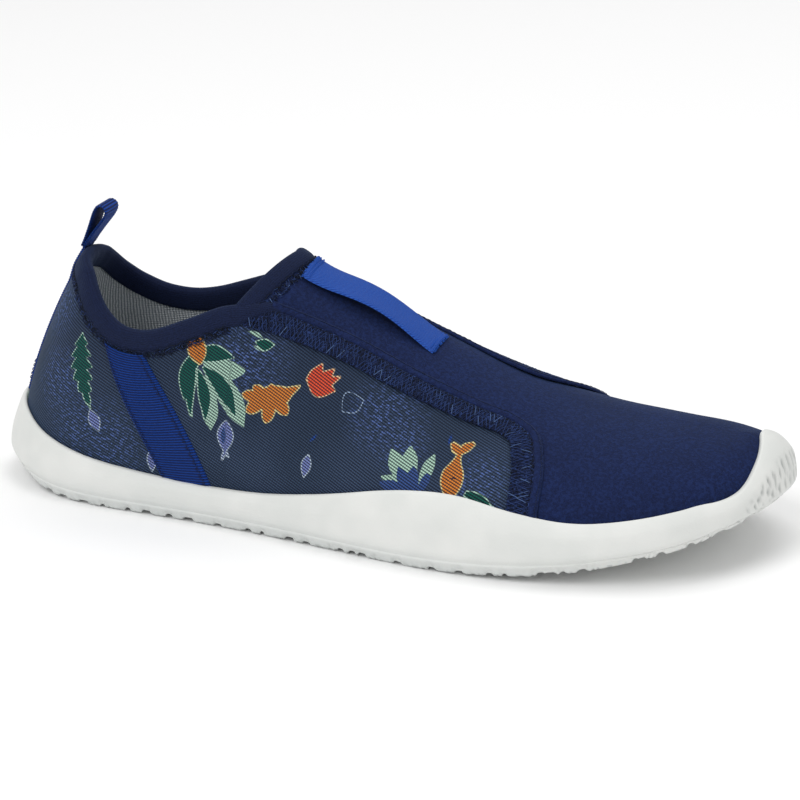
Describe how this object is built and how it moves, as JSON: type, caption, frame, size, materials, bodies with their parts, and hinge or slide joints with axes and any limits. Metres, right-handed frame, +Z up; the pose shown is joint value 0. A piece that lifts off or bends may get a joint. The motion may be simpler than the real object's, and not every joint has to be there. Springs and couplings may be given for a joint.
{
  "type": "water shoe",
  "caption": "Slip-on water shoe for the right foot: stretch neoprene front, printed fabric sides, moulded sole with a raised toe guard, webbing pull loop at the heel.",
  "frame": {"origin": "on the ground at the middle of the shoe's length, on the underside of a tread lug", "axes": "+X towards the toe, +Y towards the inner (medial) side of the right foot, +Z up"},
  "size_m": [0.2661, 0.0986, 0.0934],
  "materials": {
    "outsole": "satin",
    "board": "matte",
    "footbed": "matte",
    "neoprene": "matte",
    "printed_fabric": "matte",
    "lining": "matte",
    "binding": "matte",
    "strip": "matte",
    "webbing": "satin",
    "label": "satin",
    "thread": "matte"
  },
  "bodies": {
    "shoe": {"outsole": "outsole", "strobel_board": "board", "footbed": "footbed", "vamp": "neoprene", "quarter_outer": "printed_fabric", "quarter_inner": "printed_fabric", "lining_outer": "lining", "lining_inner": "lining", "collar_binding": "binding", "tongue_binding": "binding", "edge_strip_outer": "strip", "edge_strip_inner": "strip", "side_strap_outer": "webbing", "side_strap_inner": "webbing", "heel_tape": "webbing", "tongue_label": "label", "collar_stitching": "thread", "tongue_stitching": "thread", "seam_stitching_outer": "thread", "seam_stitching_inner": "thread", "strap_stitching_outer": "thread", "strap_stitching_inner": "thread", "label_stitching": "thread", "heel_tape_stitching": "thread"},
    "pull_loop": {"heel_pull_loop": "webbing"}
  },
  "joints": [
    {"name": "pull_loop_swing", "type": "hinge", "parent": "shoe", "child": "pull_loop", "pos_m": [-0.10027, 0, 0.08054], "axis": [0, 1, 0], "range_deg": [-95, 20], "stiffness_Nm_per_rad": 0.003}
  ]
}
